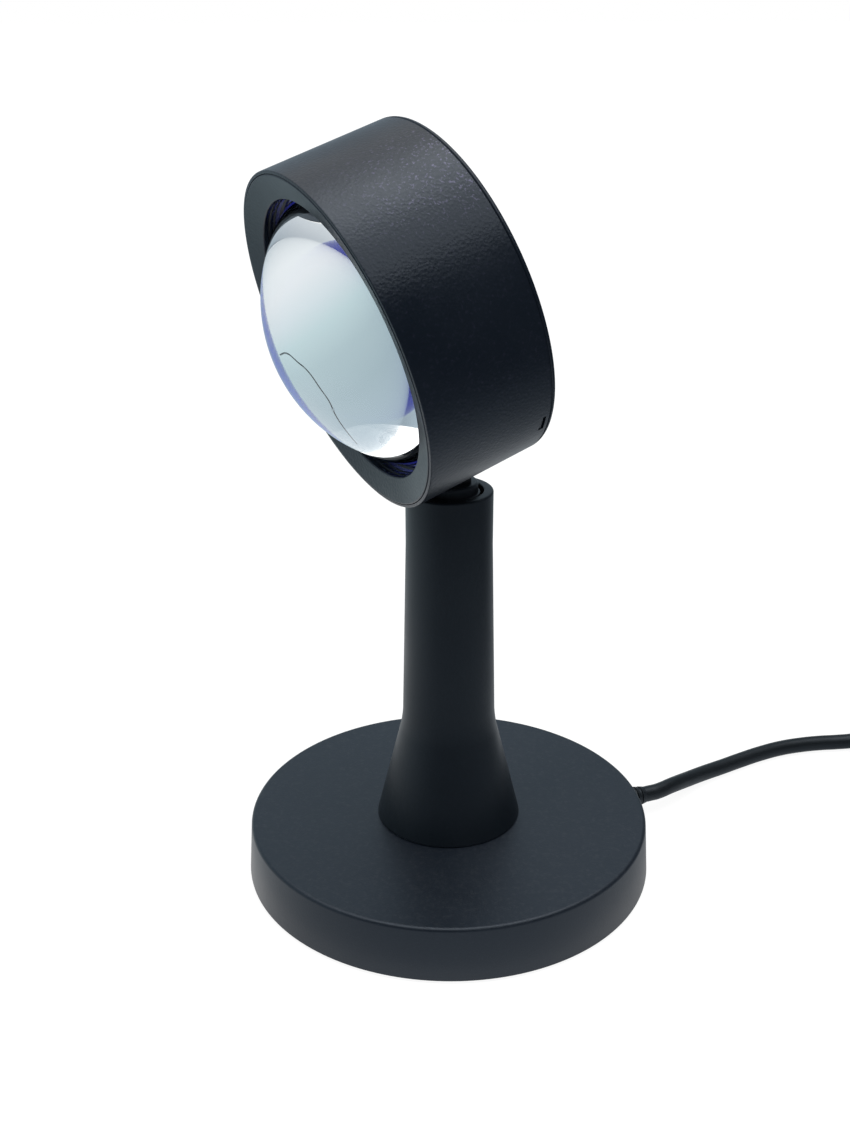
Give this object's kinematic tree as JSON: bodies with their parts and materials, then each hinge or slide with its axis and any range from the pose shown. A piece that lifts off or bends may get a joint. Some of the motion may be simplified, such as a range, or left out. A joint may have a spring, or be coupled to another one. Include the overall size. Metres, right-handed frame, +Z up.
{
  "type": "sunset projection lamp",
  "caption": "Table lamp that projects a round coloured glow through a domed lens in a drum-shaped head, which tilts and turns on a tapered stem over a round weighted base.",
  "frame": {"origin": "middle of the base's underside, on the table", "axes": "+Z up; +X to the right and +Y away from the viewer in the picture; the lens points mostly towards -X, a little towards -Y and down"},
  "size_m": [0.2712, 0.1125, 0.1808],
  "materials": {
    "body_plastic": "moulded black with a fine texture",
    "stem_plastic": "moulded black, smoother than the base",
    "neck_plastic": "smooth black",
    "base_steel": "black zinc",
    "pad_rubber": "matt",
    "ballast_iron": "raw casting",
    "screw_steel": "zinc plated",
    "hinge_steel": "satin",
    "hinge_black": "blackened steel",
    "board_green": "solder mask",
    "cord_rubber": "smooth jacket",
    "coil_rubber": "smooth jacket",
    "lead_red": "two thin insulated wires as one lead",
    "washer_nylon": "natural nylon",
    "tie_plastic": "soft strap",
    "switch_plastic": "fine texture",
    "button_plastic": "satin",
    "usb_nickel": "nickel plated",
    "usb_tongue": "white",
    "lens_glass": "clear optical glass with a faint coating",
    "gasket_rubber": "matt",
    "reflector_chrome": "vacuum-metallised plastic",
    "filter_glass": "dichroic orange",
    "led_board_white": "white solder mask on aluminium",
    "led_yellow": "phosphor",
    "sink_aluminium": "raw"
  },
  "bodies": {
    "stand": {"base_shell": "body_plastic", "base_plate": "base_steel", "base_pad": "pad_rubber", "base_weight": "ballast_iron", "base_screws": "screw_steel", "driver_board": "board_green", "board_screws": "screw_steel", "strain_relief": "cord_rubber", "inlet_lead": "lead_red", "stem": "stem_plastic", "stem_screws": "screw_steel", "stem_lead": "lead_red", "pan_washer": "washer_nylon", "cord": "cord_rubber", "cord_mid": "cord_rubber", "cord_coil": "coil_rubber", "cord_tail": "cord_rubber", "coil_tie": "tie_plastic", "switch_lower_shell": "switch_plastic", "switch_upper_shell": "switch_plastic", "switch_board": "board_green", "usb_plug_body": "switch_plastic", "usb_plug_shell": "usb_nickel", "usb_plug_tongue": "usb_tongue"},
    "switch_button": {"switch_button": "button_plastic"},
    "swivel": {"hinge_tongue": "hinge_black", "neck_collar": "neck_plastic", "stop_washer": "hinge_steel", "pan_spring": "hinge_steel", "pan_nut": "hinge_steel", "post_lead": "lead_red"},
    "head": {"head_housing": "body_plastic", "front_bezel": "body_plastic", "lens": "lens_glass", "lens_gasket": "gasket_rubber", "reflector": "reflector_chrome", "filter_disc": "filter_glass", "filter_clip": "hinge_steel", "led_board": "led_board_white", "led_chip": "led_yellow", "heat_sink": "sink_aluminium", "heat_sink_screws": "screw_steel", "rear_cover": "body_plastic", "hinge_bracket": "hinge_steel", "bracket_screws": "screw_steel", "hinge_pin": "hinge_steel", "hinge_washers": "hinge_steel", "head_lead": "lead_red"}
  },
  "joints": [
    {"name": "head_pan", "type": "hinge", "parent": "stand", "child": "swivel", "pos_m": [0, 0, 0.1], "axis": [0, 0, 1], "range_deg": [-170, 170]},
    {"name": "head_tilt", "type": "hinge", "parent": "swivel", "child": "head", "pos_m": [0, 0, 0.111], "axis": [0.4648, -0.8854, 0], "range_deg": [-37.5, 7]},
    {"name": "button_press", "type": "slide", "parent": "stand", "child": "switch_button", "axis": [0, 0, -1], "range_m": [0, 0.0008], "stiffness_N_per_m": 900}
  ]
}
